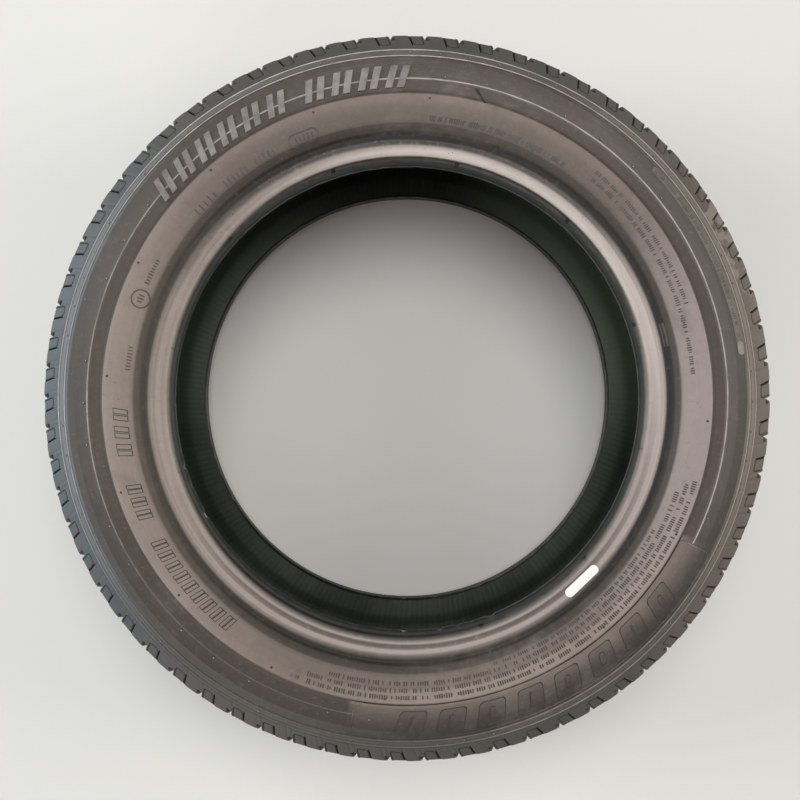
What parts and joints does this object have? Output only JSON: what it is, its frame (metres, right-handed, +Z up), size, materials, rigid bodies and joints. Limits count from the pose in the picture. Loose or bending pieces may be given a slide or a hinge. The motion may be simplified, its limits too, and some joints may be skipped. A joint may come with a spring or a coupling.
{
  "type": "worn car tyre",
  "caption": "Old worn tubeless passenger-car tyre lying on its side, ribbed tread with shoulder slots, ringed sidewalls and a small plain label on the bead.",
  "frame": {"origin": "centre of the underside, on the ground plane, on the tyre's axis", "axes": "+Z up along the tyre's axis; the tyre lies flat on its lower sidewall; X and Y lie in the ground plane"},
  "size_m": [0.5529, 0.553, 0.157],
  "materials": {
    "tyre_rubber": "worn black rubber, matt and grey-brown with dust, glossier on the beads",
    "label_paper": "matt white label with faint bars"
  },
  "bodies": {
    "root": {"tyre": "tyre_rubber", "bead_label": "label_paper"}
  },
  "joints": []
}
